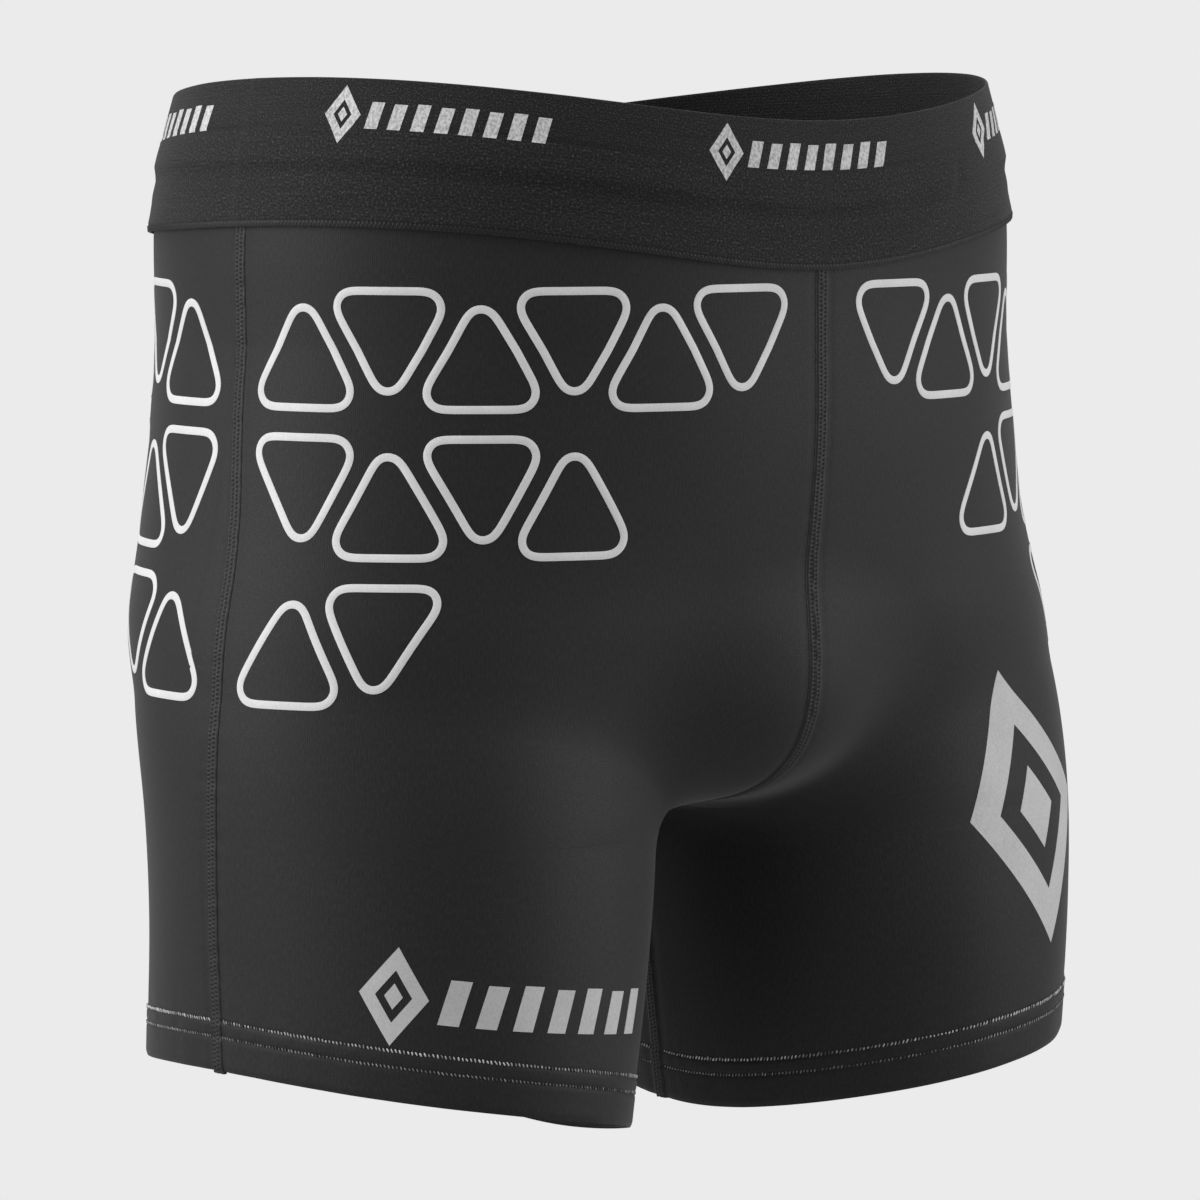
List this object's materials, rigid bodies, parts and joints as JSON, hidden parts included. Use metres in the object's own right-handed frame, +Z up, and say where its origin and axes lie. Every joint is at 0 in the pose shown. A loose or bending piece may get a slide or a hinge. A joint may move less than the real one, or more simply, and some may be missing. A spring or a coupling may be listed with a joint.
{
  "type": "compression shorts",
  "caption": "Skin-tight knit compression shorts with a wide elastic waistband, flatlock panel seams and cover-stitched leg hems, in their worn shape.",
  "frame": {"origin": "middle of the waist opening, level with the top edge of the elastic band", "axes": "+Z up the body, the front of the garment faces -Y, the wearer's left side is +X"},
  "size_m": [0.3696, 0.2557, 0.3719],
  "materials": {
    "cloth": "matte",
    "elastic": "matte",
    "thread": "satin",
    "print": "matte"
  },
  "bodies": {
    "root": {"front_panel_right": "cloth", "front_panel_left": "cloth", "back_panel_right": "cloth", "back_panel_left": "cloth", "side_seam_right": "thread", "side_seam_left": "thread", "centre_front_seam": "thread", "centre_back_seam": "thread", "inseam": "thread", "hem_turnup_right": "cloth", "hem_stitch_lower_right": "thread", "hem_stitch_upper_right": "thread", "hem_stitch_inner_right": "thread", "hem_turnup_left": "cloth", "hem_stitch_lower_left": "thread", "hem_stitch_upper_left": "thread", "hem_stitch_inner_left": "thread", "waistband_elastic": "elastic", "waistband_stitch_outer": "thread", "waistband_stitch_inner": "thread", "waistband_join_stitch": "thread"}
  },
  "joints": []
}
